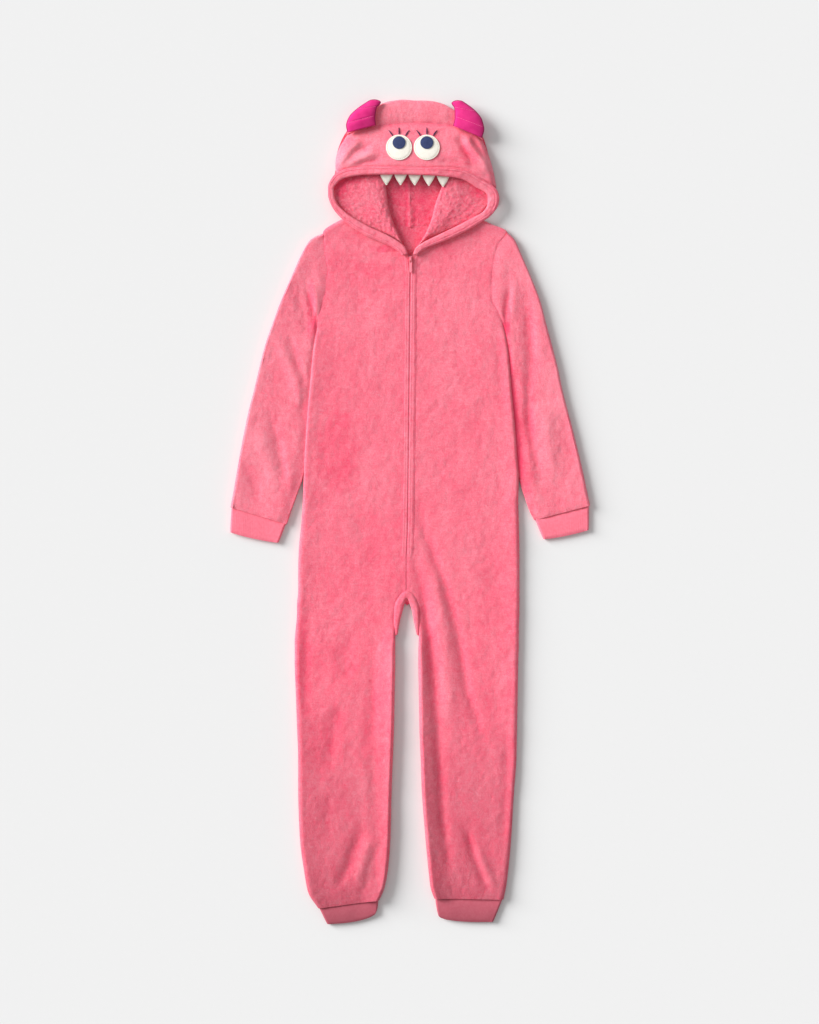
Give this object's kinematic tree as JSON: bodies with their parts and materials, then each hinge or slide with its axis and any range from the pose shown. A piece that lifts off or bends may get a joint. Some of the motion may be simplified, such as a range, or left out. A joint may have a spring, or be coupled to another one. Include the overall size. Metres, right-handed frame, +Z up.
{
  "type": "hooded monster onesie laid flat",
  "caption": "Child's plush fleece onesie with a horned monster hood, rib cuffs and a front zip, laid flat on its back.",
  "frame": {"origin": "under the middle of the garment's box, on the surface that it lies on", "axes": "+Y from the feet toward the hood, +Z up out of the front, +X to the right as seen from above"},
  "size_m": [0.6112, 1.3992, 0.0278],
  "materials": {
    "fleece": "plush fleece with a soft brushed pile",
    "rib_knit": "smooth fine rib knit",
    "horn_cloth": "smooth padded cloth",
    "eye_felt": "matt felt",
    "pupil_felt": "matt felt",
    "zip_tape": "woven tape",
    "zip_metal": "lacquered"
  },
  "bodies": {
    "garment": {"front_left": "fleece", "front_right": "fleece", "back_left": "fleece", "back_right": "fleece", "crotch_gusset": "fleece", "sleeve_left": "fleece", "sleeve_right": "fleece", "cuff_sleeve_left": "rib_knit", "cuff_sleeve_right": "rib_knit", "cuff_leg_left": "rib_knit", "cuff_leg_right": "rib_knit", "hood_back_left": "fleece", "hood_back_right": "fleece", "hood_face": "fleece", "hood_hem": "fleece", "hood_fold_left": "fleece", "hood_fold_right": "fleece", "horn_left": "horn_cloth", "horn_right": "horn_cloth", "eye_left": "eye_felt", "eye_right": "eye_felt", "pupil_left": "pupil_felt", "pupil_right": "pupil_felt", "tooth_1": "eye_felt", "tooth_2": "eye_felt", "tooth_3": "eye_felt", "tooth_4": "eye_felt", "tooth_5": "eye_felt", "zip_tape_left": "zip_tape", "zip_tape_right": "zip_tape", "zip_slider": "zip_metal"},
    "pull": {"zip_pull": "zip_metal"}
  },
  "joints": [
    {"name": "pull_hinge", "type": "hinge", "parent": "garment", "child": "pull", "pos_m": [0.0009, 0.429, 0.0126], "axis": [-1, 0, 0], "range_deg": [0, 150]}
  ]
}
